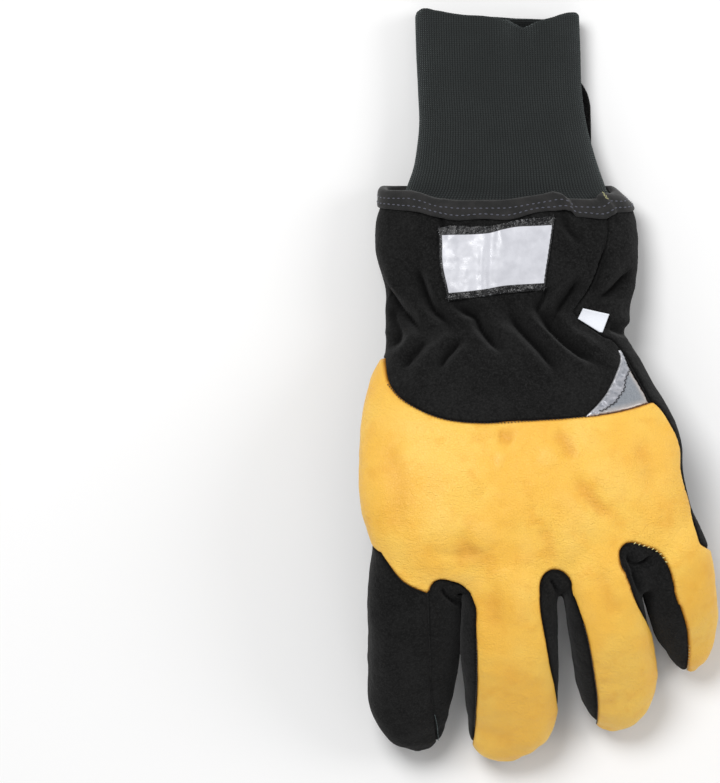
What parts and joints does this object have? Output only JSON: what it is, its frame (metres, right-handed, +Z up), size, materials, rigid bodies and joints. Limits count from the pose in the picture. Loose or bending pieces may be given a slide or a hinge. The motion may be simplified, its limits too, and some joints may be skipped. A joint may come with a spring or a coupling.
{
  "type": "firefighter glove",
  "caption": "Structural firefighting glove with gold leather back, black suede palm, gathered gauntlet and long knit wrist, lying palm down with curled fingers.",
  "frame": {"origin": "middle of the glove's outline in plan, on the surface it lies on", "axes": "+Y from the fingertips to the mouth of the cuff, +Z up out of the back of the hand, +X towards the little finger"},
  "size_m": [0.1592, 0.3396, 0.0735],
  "materials": {
    "cuff_knit": "fine ribbed knit, matt",
    "tab_suede": "napped suede, matt",
    "binding_tape": "woven tape, matt",
    "gauntlet_suede": "brushed suede, gathered, matt",
    "gold_leather": "smooth grain leather, satin",
    "reflective_film": "silver film on cloth, semi gloss",
    "palm_suede": "napped suede, matt",
    "front_suede": "napped suede, matt",
    "side_suede": "napped suede, matt",
    "thumb_suede": "napped suede, matt",
    "label_vinyl": "glossy blank film with dark edges",
    "tag_cloth": "woven ribbon, blank"
  },
  "bodies": {
    "root": {"knit_cuff": "cuff_knit", "pull_tab": "tab_suede", "edge_binding": "binding_tape", "gauntlet_back": "gauntlet_suede", "back_leather": "gold_leather", "reflective_trim": "reflective_film", "palm": "palm_suede", "index_back": "palm_suede", "front_middle": "front_suede", "front_ring": "front_suede", "side_wall_index_middle": "side_suede", "side_wall_middle_ring": "side_suede", "side_wall_ring_little": "side_suede", "thumb_back": "thumb_suede", "thumb_front": "thumb_suede", "label_patch": "label_vinyl", "size_tag": "tag_cloth"}
  },
  "joints": []
}
